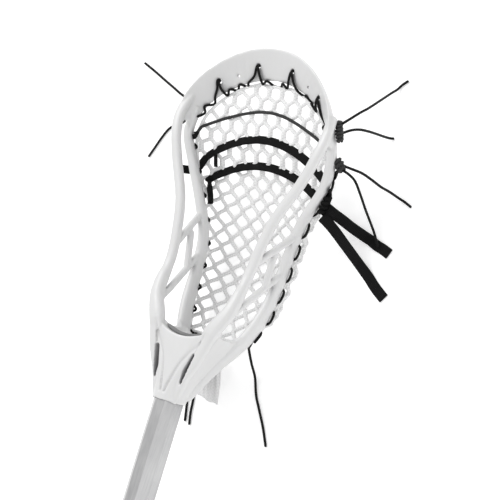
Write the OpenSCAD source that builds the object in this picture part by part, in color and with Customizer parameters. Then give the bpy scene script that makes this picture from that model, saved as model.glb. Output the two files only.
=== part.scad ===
// Lacrosse stick lying on its back, face up: a strung head on a hollow octagonal shaft.
// The head is drawn in its own frame (x to the right, y from the socket's mouth to the scoop, z out of
// the face, with the shaft's axis at x = z = 0) and lie() then tips it back onto the floor.

/* [Shaft] */
// Length of the shaft
shaft_len = 762; // [720:1:800]
// Width of the octagonal shaft across its flats
shaft_flats = 26; // [25:0.5:26]
// Wall of the shaft
shaft_wall = 1.4; // [1:0.1:2]
// Depth of the shaft in the head's socket
seat_depth = 50; // [44:1:50]
// Radius of the rubber cap's closed end
cap_r = 17.5; // [17:0.5:19]
// Length of the shaft that the rubber cap covers
cap_cover = 32; // [24:1:40]

/* [Head] */
// Width of the two rails on each side
rail_w = 9.2; // [8.6:0.2:9.6]
// Height of the top rails
rail_h = 8.8; // [8.2:0.2:9.6]
// Thickness of the struts between the rails
strut_d = 7; // [6:0.5:8]
// Outside radius of the socket's mouth
socket_r = 15.4; // [15.2:0.1:16]
// Radius of the curved wall that stops the ball
stop_r = 50; // [48:1:54]
// Thickness of that wall
stop_wall = 4; // [3:0.5:5]
// Thickness of the foam pad on it
pad_t = 3; // [2.5:0.5:4]
// Radius of the string holes in the scoop
hole_r = 2; // [2:0.1:3]

/* [Stringing] */
// Thickness of the pocket's mesh
mesh_t = 3; // [2:0.5:4]
// How far the pocket hangs below the shaft's axis
pocket_drop = 70; // [66:1:72]
// Diameter of the nylon strings
string_d = 2.4; // [2:0.1:2.6]
// Width of the flat laces where they hang free
lace_w = 10; // [8:0.5:11]
// Width of the flat laces where they are stretched across the pocket
tight_lace_w = 8; // [7:0.5:9]
// Thickness of the flat laces
lace_t = 1.8; // [1.4:0.1:2.4]
// Diameter of the round shooting cord
cord_d = 3; // [2.5:0.1:3.4]

/* [Hidden] */

cap_end_t = 5;
cap_gap = 0.15;
screw_r = 2;
screw_y = 26;
screw_head_z = -20;
corner = 1 / cos(22.5);

cap_round = 2.5;

// The stick lies on the lowest point of its pocket and on the edge of its cap.
pocket_low_y = 115;
shaft_end_y = seat_depth - shaft_len;
butt_y = shaft_end_y - cap_end_t;
rest_tilt = atan((pocket_drop - cap_r) / (pocket_low_y - butt_y - cap_round));
rest_h = pocket_drop * cos(rest_tilt) - pocket_low_y * sin(rest_tilt);
scoop_y = 332;
// Distance from the origin, at the middle of the stick's length, to the socket's mouth
mouth_y = -(scoop_y + butt_y) * cos(rest_tilt) / 2 - cap_r * sin(rest_tilt) / 2;

module lie() translate([0, mouth_y, rest_h]) rotate([rest_tilt, 0, 0]) children();

function lay(p) = [p.x, mouth_y + p.y * cos(rest_tilt) - p.z * sin(rest_tilt),
    rest_h + p.y * sin(rest_tilt) + p.z * cos(rest_tilt)];

// Right-hand centre lines of the rails, from the throat to the scoop
TOP_RAIL = [[9, -2, 5.5], [14.5, 18, 8.5], [23.6, 39, 10.4], [31.5, 66, 11.6], [42.4, 90, 8.6], [44.6, 122, 1.4],
    [48.5, 152, 1], [55.5, 180, 1.6], [71, 213, 3], [80, 238, 5], [83, 257, 3.5], [80, 278, -2]];
LOW_RAIL = [[10, 4, -10], [18, 34, -23], [34.5, 66, -34], [43, 92, -39.5], [47, 125, -43.5],
    [50, 155, -42], [59.5, 184, -33.5], [76, 218, -26.5], [82.2, 240, -16.5], [80.5, 254, -13], [77, 268, -9]];
LOW_RAIL_H = [8, 13, 17, 16, 13, 11.5, 10, 9.2, 9, 8.6, 8];
// Where the moulded head is divided into its frame and its scoop
SPLIT_Y = 247;
// Outer and inner edge of the scoop's ramp, from its right-hand root to the middle
SCOOP_OUT = [[85.6, 252, 7.8], [85.4, 263, 8.6], [80.5, 280, 8], [69, 298, 6.6], [49.5, 316, 4],
    [25, 328.5, 1.4], [0, 332, 0.4]];
SCOOP_IN = [[77, 251, -12], [73.5, 261, -13], [68.5, 270, -12.5], [57.5, 283, -13.5], [39, 295, -14],
    [18.5, 302.5, -14], [0, 305, -14]];
RIM_H = [13, 16, 11, 8.5, 7.5, 7, 7];
RAMP_T = 3.4;

// Edge of the pocket on the right, from the throat to the scoop: half width, y and height
POCKET_EDGE = [[35, 64, -42.6], [45, 92, -47.8], [49, 125, -50.4], [52, 155, -48.2], [61.5, 184, -39.2],
    [75, 215, -32.6], [78, 240, -22], [73.5, 258, -18], [66, 270, -17], [55.5, 282, -17.5],
    [38, 293.5, -18], [18, 300.5, -18]];
// How far the mesh sags below its edges at the same stations
POCKET_SAG = [5, 16, 21.4, 23.4, 23.4, 20.6, 17, 13, 10, 7, 4, 2];
// How much the mesh bulges sideways below its edges there
POCKET_BULGE = [4, 13, 15, 15, 12, 6, 1, 0, 0, 0, 0, 0];

function unit(v) = v / norm(v);
function mirrored(p) = [-p.x, p.y, p.z];
function reversed(v) = [for (i = [len(v) - 1:-1:0]) v[i]];
function at(v, i) = v[max(0, min(len(v) - 1, i))];
function bend(a, b, c, d, t) = ((2 * b) + (c - a) * t + (2 * a - 5 * b + 4 * c - d) * t * t
    + (3 * b - a - 3 * c + d) * t * t * t) / 2;
// A smooth curve through the points, with n steps between each pair
function smooth(v, n) = [for (i = [0:len(v) - 2]) for (k = [0:n - 1])
    bend(at(v, i - 1), v[i], v[i + 1], at(v, i + 2), k / n), v[len(v) - 1]];
// The value of a column of a table at a given y, along straight lines between its stations
function along(v, y, i = 0) = y <= v[0].y ? v[0] : i >= len(v) - 1 ? v[len(v) - 1]
    : y <= v[i + 1].y ? v[i] + (v[i + 1] - v[i]) * (y - v[i].y) / (v[i + 1].y - v[i].y) : along(v, y, i + 1);

// A ring of a rounded section, w across and h thick, around point i of a path
function tangent(p, i) = unit(at(p, i + 1) - at(p, i - 1));
function side(p, i, up) = unit(cross(tangent(p, i), up));
function soft(c, square) = sign(c) * pow(abs(c), square);
function ring(p, i, w, h, up, sides, square) = let(s = side(p, i, up), v = cross(s, tangent(p, i)))
    [for (k = [0:sides - 1]) let(a = -360 * (k + 0.5) / sides)
        p[i] + s * w / 2 * soft(cos(a), square) + v * h / 2 * soft(sin(a), square)];
function skin(rows, n) = [for (i = [0:rows - 2]) for (k = [0:n - 1]) for (t = [
    [i * n + k, (i + 1) * n + k, i * n + (k + 1) % n],
    [i * n + (k + 1) % n, (i + 1) * n + k, (i + 1) * n + (k + 1) % n]]) t];
function ends(rows, n) = [for (k = [1:n - 2]) for (t = [[0, k, k + 1],
    [(rows - 1) * n, (rows - 1) * n + k + 1, (rows - 1) * n + k]]) t];

// The same ends as strips between the two faces of a thin section
function strip_ends(rows, n) = [for (k = [0:n / 2 - 2])
    for (t = [[k, k + 1, n - 2 - k], [k, n - 2 - k, n - 1 - k]])
    for (last = [0, 1]) [for (j = [0:2]) last * (rows - 1) * n + t[last ? 2 - j : j]]];

// A solid through rings of n points each
module loft(rings, n, thin = false) polyhedron([for (r = rings) each r],
    concat(skin(len(rings), n), thin ? strip_ends(len(rings), n) : ends(len(rings), n)));

// A tube or a flat band along a path; w and h may be single values or one value for each point
module sweep(p, w, h, up = [0, 0, 1], sides = 8, square = 1) {
    function size(v, i) = is_list(v) ? v[i] : v;
    loft([for (i = [0:len(p) - 1]) ring(p, i, size(w, i), size(h, i), up, sides, square)], sides);
}

module both_sides() {
    children();
    mirror([1, 0, 0]) children();
}

// ---- Head ----

function throat_section(y, half_w, top, low, square) = [for (k = [0:23]) let(a = -15 * k)
    [half_w * soft(cos(a), square), y, (top + low) / 2 + (top - low) / 2 * soft(sin(a), square)]];

THROAT = [[-2.5, 15.3, 15.3, -15.3, 1], [6, 15.9, 15.6, -15.8, 0.95], [20, 18.6, 15.6, -19, 0.8],
    [39, 25, 15.2, -26.5, 0.6], [55, 31.5, 14.8, -33.5, 0.5], [70, 37.4, 14.2, -38, 0.5]];

// The throat's shape, drawn in from its outside by a wall
module throat_block(inset) loft([for (s = THROAT)
    throat_section(s[0], s[1] - inset, s[2] - inset, s[3] + inset, s[4])], 24);

module octagon_bar(flats, y0, y1) translate([0, y1, 0]) rotate([90, 0, 0]) rotate([0, 0, 22.5])
    cylinder(r = flats / 2 * corner, h = y1 - y0, $fn = 8);

module stop_cylinder(r) translate([0, 57 + stop_r, -60]) cylinder(r = r, h = 100, $fn = 96);

module groove(a, b, r) hull() {
    translate(a) sphere(r = r, $fn = 12);
    translate(b) sphere(r = r, $fn = 12);
}

module throat() difference() {
    throat_block(0);
    difference() {
        intersection() {
            throat_block(3);
            translate([-60, 12, -60]) cube([120, 60, 60 + 11.5]);
        }
        translate([0, 64, 0]) rotate([90, 0, 0]) cylinder(r = socket_r + 0.4, h = 70, $fn = 40);
        stop_cylinder(stop_r + stop_wall);
    }
    stop_cylinder(stop_r);
    // The window under the throat
    hull() for (p = [[7, 20], [17, 44], [20, 51]]) both_sides()
        translate([p.x, p.y, -60]) cylinder(r = 2.5, h = 60 - socket_r - 1.5, $fn = 16);
}

// What is cut from each side of the throat after the rails have joined it: the slot beside the socket, the
// creases around it and the rounded foot of the side window
module throat_cuts() {
    hull() {
        translate([14.6, 14, -4]) cylinder(r = 0.9, h = 25, $fn = 16);
        translate([16.6, 27, -4]) cylinder(r = 2.3, h = 25, $fn = 16);
        translate([21.2, 43, -4]) cylinder(r = 1.7, h = 25, $fn = 16);
    }
    groove([3.6, 12, 16.4], [9.6, 32, 15.8], 1.7);
    groove([9.6, 32, 15.8], [24, 54, 15], 1.7);
    hull() for (p = [[70.6, -5], [70.6, -18], [90, -5], [90, -18]])
        translate([16, p.x, p.y]) rotate([0, 90, 0]) cylinder(r = 7, h = 23, $fn = 24);
}

module screw_boss() translate([0, screw_y, screw_head_z]) cylinder(r = 6.5, h = 8, $fn = 32);

// A point of the right-hand wall, from the top rail (w = 0) to the low rail (w = 1)
function wall(y, w) = (1 - w) * along(TOP_RAIL, y) + w * along(LOW_RAIL, y);

STRUTS = [[[136, 0.05], [173, 1]], [[84, 0.1], [137, 1]], [[151, 0.52], [122, 0.62]]];

module struts() for (s = STRUTS) hull() {
    translate(wall(s[0].x, s[0].y)) sphere(d = strut_d, $fn = 10);
    translate(wall(s[1].x, s[1].y)) sphere(d = strut_d, $fn = 10);
}

module rails() {
    top = smooth(TOP_RAIL, 4);
    low = smooth(LOW_RAIL, 4);
    low_h = smooth(LOW_RAIL_H, 4);
    // The top rail is broader where it leaves the throat
    sweep(top, [for (p = top) rail_w + 6 * max(0, 1 - abs(p.y - 70) / 40)],
        [for (p = top) p.y < 60 || p.y > 110 ? rail_h : rail_h + 3], sides = 12, square = 0.7);
    sweep(low, rail_w, low_h, sides = 12, square = 0.7);
}

// A section of the scoop's ramp: rounded rim outside, thin edge inside
function ramp_section(o, i, rim) = let(run = o - i, d = [0, 0, 1]) [
    o - 0.09 * run, o - 0.02 * run - 0.09 * rim * d, o - 0.35 * rim * d, o - 0.05 * run - 0.75 * rim * d,
    o - 0.14 * run - 1.0 * rim * d, 0.5 * (o + i) - (0.28 * rim + RAMP_T * 0.6) * d,
    i + 0.05 * run - RAMP_T * d, i - RAMP_T * 0.7 * d, i - 0.2 * RAMP_T * d, i + 0.06 * run + 0.1 * d];

module ramp() {
    out = smooth(concat(SCOOP_OUT, [for (p = reversed(SCOOP_OUT)) if (p.x > 0) mirrored(p)]), 3);
    inn = smooth(concat(SCOOP_IN, [for (p = reversed(SCOOP_IN)) if (p.x > 0) mirrored(p)]), 3);
    rim = smooth(concat(RIM_H, [for (i = [len(RIM_H) - 2:-1:0]) RIM_H[i]]), 3);
    loft([for (i = [0:len(out) - 1]) ramp_section(out[i], inn[i], rim[i])], 10);
}

// String holes in the ramp: two on each side carry the top string and the smaller one is spare
HOLES = [[57, 294.5], [19.5, 315]];
SPARE_HOLE = [40, 303];
SPARE_HOLE_SCALE = 0.7;

module string_hole(p, r) translate([p.x, p.y, -30]) cylinder(r = r, h = 60, $fn = 16);

module beyond_split() translate([-110, SPLIT_Y, -60]) cube([220, 120, 120]);

module head_frame() color("white") lie() difference() {
    union() {
        throat();
        screw_boss();
        both_sides() {
            rails();
            struts();
        }
    }
    octagon_bar(shaft_flats + 0.1, -10, seat_depth);
    translate([0, screw_y, screw_head_z - 10]) cylinder(r = screw_r + 0.05, h = 30, $fn = 32);
    both_sides() throat_cuts();
    beyond_split();
}

// The far end of the same moulding
module head_scoop() color("white") lie() difference() {
    intersection() {
        union() {
            both_sides() rails();
            ramp();
        }
        beyond_split();
    }
    both_sides() {
        for (h = HOLES) string_hole(h, hole_r);
        string_hole(SPARE_HOLE, hole_r * SPARE_HOLE_SCALE);
    }
}

module ball_stop_pad() color("dimgray") lie() difference() {
    intersection() {
        stop_cylinder(stop_r);
        translate([-21, 50, 3]) cube([42, 20, 6]);
    }
    stop_cylinder(stop_r - pad_t);
}

// ---- Shaft ----

module shaft() color("silver") lie() difference() {
    octagon_bar(shaft_flats, shaft_end_y, seat_depth);
    octagon_bar(shaft_flats - 2 * shaft_wall, shaft_end_y - 1, seat_depth + 1);
    translate([0, screw_y, screw_head_z]) cylinder(r = screw_r + 0.05, h = 12, $fn = 32);
}

module end_cap() color("black") lie() difference() {
    translate([0, shaft_end_y + cap_cover, 0]) rotate([90, 0, 0]) rotate_extrude($fn = 64) polygon([
        [0, 0], [15.6, 0], [16.8, 1.2], [16.8, 3], [16, 4], [16, cap_cover - 12], [cap_r, cap_cover - 9],
        [cap_r, cap_cover + cap_end_t - cap_round], [cap_r - cap_round, cap_cover + cap_end_t],
        [0, cap_cover + cap_end_t]]);
    octagon_bar(shaft_flats + 2 * cap_gap, shaft_end_y - cap_gap, shaft_end_y + cap_cover + 1);
}

module head_screw() color("silver") lie() translate([0, screw_y, 0]) difference() {
    union() {
        translate([0, 0, screw_head_z - 1]) cylinder(r = screw_r, h = 10, $fn = 32);
        translate([0, 0, screw_head_z - 2.65]) cylinder(r = 4, h = 2.6, $fn = 32);
    }
    for (a = [0, 90]) rotate(a) translate([-2.5, -0.4, screw_head_z - 3]) cube([5, 0.8, 1.8]);
}

// ---- Pocket ----

pocket_half_w = 11;
// The station at which the deep part of the mesh ends and its ramp up to the scoop begins
pocket_split = 4;

// A point of the mesh's outer face, at an angle from -90 on its left edge to 90 on its right one
function mesh_outline(edge, sag, bulge, angle) = let(u = sin(angle), depth = pow(max(0, cos(angle)), 0.7))
    [u * (edge.x + bulge * u * u * depth), edge.y, edge.z - sag * depth];

// The same point lifted into the pocket; the mesh lies flat where it meets the floor
function mesh_point(edge, sag, bulge, angle, lift) = let(
    p = mesh_outline(edge, sag, bulge, angle),
    right = mesh_outline(edge, sag, bulge, min(90, angle + 4)),
    left = mesh_outline(edge, sag, bulge, max(-90, angle - 4)),
    across = unit(right - left),
    q = lay(p),
    m = lay(p + lift * [-across.z, 0, across.x]) - q) [q.x + m.x, q.y + m.y, max(q.z, 0) + m.z];

// The mesh between two stations
module mesh(from, to) {
    edge = smooth(POCKET_EDGE, 2);
    sag = smooth(POCKET_SAG, 2);
    bulge = smooth(POCKET_BULGE, 2);
    n = 2 * pocket_half_w + 1;
    function row(i, lift) = [for (k = [0:n - 1])
        mesh_point(edge[i], sag[i], bulge[i], 90 * (k / pocket_half_w - 1), lift)];
    loft([for (i = [2 * from:2 * to]) concat(row(i, mesh_t), reversed(row(i, 0)))], 2 * n, thin = true);
}

module mesh_pocket() color("white") mesh(0, pocket_split);
module mesh_ramp() color("white") mesh(pocket_split, len(POCKET_EDGE) - 1);

// The spare end of the mesh, gathered below the throat and dropped to the floor
module mesh_tail() color("white") translate([0, mouth_y, 0]) hull() {
    translate([-20, 56, 19]) cube([22, 3, 4]);
    translate([-20, 34, 3]) cube([24, 3, 5]);
    translate([-17, 10, 0]) cube([26, 3, 3]);
}

// ---- Strings; a path given as stitches runs in and out of the edge that it ties ----

module string(p, up = [0, 0, 1], sides = 8) sweep([for (q = p) lay(q)], string_d, string_d, up, sides);

TOP_LEGS = [[74, 258, -13], [71, 264, -18], [68, 269, -11], [64, 274, -19], [61, 280, -13], [58.4, 287, -9],
    [57.4, 293.5, -4.6], [57, 295, -8.5], [56, 292.5, -6], [54, 287, -10], [51, 284, -18], [47, 289, -13],
    [43, 291, -20], [38, 295.5, -14], [33, 296, -20], [28, 298.5, -13], [22.5, 305, -11], [19.9, 313.5, -7],
    [19.5, 315.5, -11], [18.8, 313, -7.6], [16.5, 306, -11], [14, 300, -16], [9, 303, -14], [4, 301, -20]];

module top_string() color("black") {
    legs = concat(TOP_LEGS, [for (p = reversed(TOP_LEGS)) mirrored(p)]);
    string(smooth([for (p = legs) p + [0, 0, 1.6]], 2));
}

// One turn of the string around the low rail and the edge of the mesh: how far along it is, and which side
// of the rail it is on (1 outside, 0 below, -1 inside)
STITCH_TURN = [[0, 1], [9, 1], [12, 0], [15, -1], [18, 0]];
STITCH_PITCH = 21;
function stitches(first, turns) = [for (i = [0:turns - 1]) for (t = STITCH_TURN) let(
    y = first + i * STITCH_PITCH + t[0],
    p = along(LOW_RAIL, y),
    h = along([for (k = [0:len(LOW_RAIL) - 1]) [LOW_RAIL_H[k], LOW_RAIL[k].y]], y).x / 2)
    p + [t[1] * (rail_w / 2 + 1), 0, (t[1] == 0 ? -1 : 1) - h]];

module sidewall_string() string(smooth(stitches(70, 8), 2), sides = 6);

module left_sidewall_string() color("black") mirror([1, 0, 0]) sidewall_string();

module right_sidewall_string() color("black") sidewall_string();

BOTTOM_STRING = [[33, 66, -38], [24, 61.5, -43], [14, 58, -39.5], [5, 56, -44], [-5, 56, -39.5],
    [-14, 58, -44], [-24, 61.5, -39.5], [-33, 66, -41]];

module bottom_string() color("black") string(smooth(BOTTOM_STRING, 3), [0, 1, 0]);

// A line across the pocket on top of the mesh, from the left edge to the right one; bow is how far its
// middle leads its ends towards the scoop
function across(y_mid, bow, lift) = [for (k = [-8:8]) let(u = k / 8, y = y_mid - bow * u * u)
    mesh_point(along(POCKET_EDGE, y), pocket_at(POCKET_SAG, y), pocket_at(POCKET_BULGE, y), asin(u),
        mesh_t + lift)];
function pocket_at(v, y) = along([for (i = [0:len(v) - 1]) [v[i], POCKET_EDGE[i].y]], y).x;

module shooting_cord() color("gray") sweep(concat([lay([-76, 241, -18.5]), lay([-73.5, 247, -18.5])],
    across(276, 25, cord_d / 2)), cord_d, cord_d, sides = 8);

module upper_lace() color("black")
    sweep(across(251.5, 32, lace_t / 2), tight_lace_w, lace_t, sides = 8, square = 0.5);

module lower_lace() color("black")
    sweep(across(229, 29, lace_t / 2), tight_lace_w, lace_t, sides = 8, square = 0.5);

// ---- Knots ----

module knot(a, b, r) color("black") hull() {
    translate(lay(a)) sphere(r = r, $fn = 12);
    translate(lay(b)) sphere(r = r, $fn = 12);
}

module left_top_knot() knot([-79, 283, -4], [-82, 278, -5], 3.2);
module left_side_knot() knot([-86, 262, -8], [-86.5, 256, -9], 3.2);
module right_top_knot() knot([84.6, 275, -7], [88.4, 262, -10], 3.8);
module right_side_knot() knot([87.4, 243, -19], [91, 239, -21], 5);
module lace_knot() knot([80, 211, -31], [76.5, 199, -33], 4.2);
module right_end_knot() knot([37, 70, -42], [36, 66, -42], 3);
module left_end_knots() {
    knot([-37, 69, -43], [-35, 66, -43], 2.6);
    knot([-27, 62, -44], [-24, 61, -44], 2.6);
}

// ---- Free ends, each from its knot down to the floor: x, y from the socket's mouth, height ----

TAIL = string_d / 2;
FLAT = lace_t / 2;
TOP_TAIL_LEFT = [[-82, 280, 73], [-88, 281, 68], [-95, 282, 60], [-103, 283, 49], [-112, 285, 36],
    [-122, 287, 22], [-133, 289, 10], [-145, 291, 3], [-157, 294, TAIL], [-171, 300, TAIL], [-185, 306, TAIL],
    [-201, 313, TAIL], [-218, 320, TAIL]];
SIDE_TAIL_LEFT = [[-87, 259, 69], [-93, 260, 64], [-100, 261, 55], [-109, 262, 43], [-119, 263, 30],
    [-130, 264, 16], [-141, 264, 6], [-151, 262, TAIL], [-158, 257, TAIL], [-163, 247, TAIL],
    [-167, 236, TAIL], [-171, 225, TAIL]];
TOP_TAIL_RIGHT = [[86, 276, 70], [91, 283, 67], [94, 291, 61], [95, 299, 52], [93, 308, 40], [90, 318, 26],
    [87, 328, 12], [86, 335, 3], [88, 340, TAIL], [93, 345, TAIL]];
CORD_TAIL_RIGHT = [[89, 268, 69], [94, 273, 65], [97, 277, 57], [98, 280, 45], [97, 283, 30], [95, 286, 14],
    [95, 288, 4], [98, 289, TAIL]];
UPPER_TAIL_FRONT = [[92, 242, 57], [101, 241, 55], [110, 240, 51], [116, 238, 43], [120, 236, 31],
    [122, 236, 17], [125, 235, 5], [131, 233, TAIL], [138, 230, TAIL]];
UPPER_TAIL_BACK = [[93, 238, 56], [99, 236, 54], [105, 232, 50], [110, 223, 43], [113, 213, 32], [114, 205, 19],
    [115, 199, 10], [117, 193, 5], [120, 188, 3.4]];
LACE_TAIL_FRONT = [[77, 206, 42], [86, 202, 39], [93, 199, 30], [99, 196, 19], [104, 194, 8], [110, 192, 1.5],
    [117, 189, FLAT], [124, 187, FLAT], [132, 184, FLAT]];
LACE_TAIL_BACK = [[78, 196, 41], [87, 191, 39], [95, 185, 35], [101, 179, 28], [107, 172, 17], [113, 165, 6],
    [121, 158, FLAT], [130, 151, FLAT], [141, 144, FLAT]];
SIDEWALL_TAIL_RIGHT = [[36, 69, 25], [37, 63, 21], [38, 54, 13], [40, 44, 4], [45, 30, TAIL], [54, 17, TAIL],
    [64, 3, TAIL], [73, -12, TAIL]];
BOTTOM_TAIL_OUTER = [[-37, 67, 23], [-37, 58, 16], [-35, 49, 9], [-33, 39, 3], [-31, 29, TAIL], [-29, 17, TAIL],
    [-26, 5, TAIL], [-23.5, -4, TAIL], [-21, -13, TAIL]];
BOTTOM_TAIL_INNER = [[-25, 61, 21], [-25, 52, 14], [-24, 43, 8], [-24, 33, 3], [-24, 26, TAIL], [-23, 19, TAIL],
    [-20, 8, TAIL], [-18, -4, TAIL], [-15, -15, TAIL]];

function on_floor(p, low) = [for (q = p) [q.x, q.y, max(q.z, low)]];

module tail(route, up) color("black") translate([0, mouth_y, 0])
    sweep(on_floor(smooth(route, 2), TAIL), string_d, string_d, up, 8);

module flat_tail(route) color("black") translate([0, mouth_y, 0])
    sweep(on_floor(smooth(route, 2), FLAT), lace_w, lace_t, [0, 0, 1], 8, 0.5);

module top_tail_left() tail(TOP_TAIL_LEFT, [0, 1, 0]);
module side_tail_left() tail(SIDE_TAIL_LEFT, [0, 0, 1]);
module top_tail_right() tail(TOP_TAIL_RIGHT, [1, 0, 0]);
module cord_tail_right() tail(CORD_TAIL_RIGHT, [0, 1, 0]);
module upper_tail_front() tail(UPPER_TAIL_FRONT, [0, 1, 0]);
module upper_tail_back() tail(UPPER_TAIL_BACK, [1, 1, 0]);
module lace_tail_front() flat_tail(LACE_TAIL_FRONT);
module lace_tail_back() flat_tail(LACE_TAIL_BACK);
module sidewall_tail_right() tail(SIDEWALL_TAIL_RIGHT, [1, 0.5, 0]);
module bottom_tail_outer() tail(BOTTOM_TAIL_OUTER, [1, 0, 0]);
module bottom_tail_inner() tail(BOTTOM_TAIL_INNER, [1, 0, 0]);

head_frame();
head_scoop();
ball_stop_pad();
shaft();
end_cap();
head_screw();
mesh_pocket();
mesh_ramp();
mesh_tail();
top_string();
left_sidewall_string();
right_sidewall_string();
bottom_string();
shooting_cord();
upper_lace();
lower_lace();
left_top_knot();
left_side_knot();
right_top_knot();
right_side_knot();
lace_knot();
right_end_knot();
left_end_knots();
top_tail_left();
side_tail_left();
top_tail_right();
cord_tail_right();
upper_tail_front();
upper_tail_back();
lace_tail_front();
lace_tail_back();
sidewall_tail_right();
bottom_tail_outer();
bottom_tail_inner();
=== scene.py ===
import math
import random

import bmesh
import bpy
from mathutils import Matrix, Vector
from mathutils.kdtree import KDTree


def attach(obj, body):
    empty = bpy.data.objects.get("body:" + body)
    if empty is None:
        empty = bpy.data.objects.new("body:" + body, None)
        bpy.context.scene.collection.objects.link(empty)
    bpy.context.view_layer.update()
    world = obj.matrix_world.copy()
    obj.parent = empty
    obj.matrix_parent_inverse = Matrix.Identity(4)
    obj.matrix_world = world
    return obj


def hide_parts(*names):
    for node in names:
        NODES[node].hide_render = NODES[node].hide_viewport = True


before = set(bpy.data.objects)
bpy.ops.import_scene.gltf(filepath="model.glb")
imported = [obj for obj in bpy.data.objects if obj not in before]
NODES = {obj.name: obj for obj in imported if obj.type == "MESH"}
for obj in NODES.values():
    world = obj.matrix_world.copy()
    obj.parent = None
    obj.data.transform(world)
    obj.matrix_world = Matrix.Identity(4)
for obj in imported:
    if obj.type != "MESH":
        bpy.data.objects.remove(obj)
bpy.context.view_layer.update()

random.seed(7)
MM = 0.001

# ---- The stick's own frame, in mm: x right, y from socket to scoop, z out of the face ----

# The sizes of the CAD source that say how the stick lies
POCKET_DROP = 70
CAP_R = 17.5
POCKET_LOW_Y = 115
BUTT_Y = -717
CAP_ROUND = 2.5
SCOOP_Y = 332
TILT = math.atan((POCKET_DROP - CAP_R) / (POCKET_LOW_Y - BUTT_Y - CAP_ROUND))
REST = POCKET_DROP * math.cos(TILT) - POCKET_LOW_Y * math.sin(TILT)
MOUTH = -(SCOOP_Y + BUTT_Y) * math.cos(TILT) / 2 - CAP_R * math.sin(TILT) / 2


def lay(p):
    """A point of the stick's frame, in mm, as it lies on the floor, in metres."""
    x, y, z = p
    return Vector((x, MOUTH + y * math.cos(TILT) - z * math.sin(TILT),
                   REST + y * math.sin(TILT) + z * math.cos(TILT))) * MM


def turn(v):
    """A direction of the stick's frame, as the stick lies on the floor."""
    return Vector((v[0], v[1] * math.cos(TILT) - v[2] * math.sin(TILT),
                   v[1] * math.sin(TILT) + v[2] * math.cos(TILT)))


def ground(p):
    """A point of a route: x, y from the socket's mouth, and height above the floor, in mm."""
    return Vector((p[0], MOUTH + p[1], p[2])) * MM


def smooth(v, n):
    """A smooth curve through the points of v, with n steps between each pair."""
    v = [Vector(p) if hasattr(p, "__len__") else p for p in v]
    out = []
    for i in range(len(v) - 1):
        a, b, c, d = v[max(0, i - 1)], v[i], v[i + 1], v[min(len(v) - 1, i + 2)]
        for k in range(n):
            t = k / n
            out.append((2 * b + (c - a) * t + (2 * a - 5 * b + 4 * c - d) * t * t
                        + (3 * b - a - 3 * c + d) * t * t * t) / 2)
    return out + [v[-1]]


def table(rows, y):
    """The row of a table at a given y (its second column), on straight lines between stations."""
    if y <= rows[0][1]:
        return list(rows[0])
    for a, b in zip(rows, rows[1:]):
        if y <= b[1]:
            t = (y - a[1]) / (b[1] - a[1])
            return [p + (q - p) * t for p, q in zip(a, b)]
    return list(rows[-1])


def share(y, start, length):
    """How much of the way from start to start + length y has come, from 0 to 1."""
    return max(0, min(1, (y - start) / length))


def tangent_at(points, i):
    return (points[min(len(points) - 1, i + 1)] - points[max(0, i - 1)]).normalized()


def rounded(value, power):
    """A sine or cosine, drawn out so that a circle becomes a square with round corners."""
    return math.copysign(abs(value) ** power, value)


# ---- Camera: the photograph's viewing angle ----

def rotation(axis, degrees):
    return Matrix.Rotation(math.radians(degrees), 3, axis)


# How the head is turned in the picture, tipped towards its top and leaned to its left (degrees)
ROLL = 17
PITCH = 5
LEAN = 37
VIEW = rotation("Z", -ROLL) @ rotation("X", -PITCH) @ rotation("Y", -LEAN)
AIM = Vector((0, 170, 0))
DISTANCE = 1500
SENSOR = 36
LENS = 119.56

camera_data = bpy.data.cameras.new("camera")
camera = bpy.data.objects.new("camera", camera_data)
bpy.context.scene.collection.objects.link(camera)
right, up, back = (turn(VIEW.row[i]) for i in range(3))
eye = lay(AIM + VIEW.row[2] * DISTANCE)
camera.matrix_world = Matrix(((right.x, up.x, back.x, eye.x), (right.y, up.y, back.y, eye.y),
                              (right.z, up.z, back.z, eye.z), (0, 0, 0, 1)))
camera_data.sensor_width = SENSOR
camera_data.lens = LENS
camera_data.shift_x = 0.05
camera_data.shift_y = -0.065
camera_data.clip_end = 50
bpy.context.scene.camera = camera


# ---- Meshes ----

def piece(name, verts, faces, uvs, material, flat=False):
    mesh = bpy.data.meshes.new(name)
    mesh.from_pydata([tuple(v) for v in verts], [], faces)
    if uvs is not None:
        layer = mesh.uv_layers.new(name="UVMap")
        for polygon, corners in zip(mesh.polygons, uvs):
            for loop, uv in zip(polygon.loop_indices, corners):
                layer.data[loop].uv = uv
    mesh.polygons.foreach_set("use_smooth", [not flat] * len(mesh.polygons))
    mesh.update()
    obj = bpy.data.objects.new(name, mesh)
    bpy.context.scene.collection.objects.link(obj)
    mesh.materials.append(material)
    return obj


TIP_REACH = 0.45  # a strand's rounded tip goes on for this share of its radius
TIP_RADIUS = 0.55  # and closes to this share of it
BAND_SIDES = 16


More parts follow.
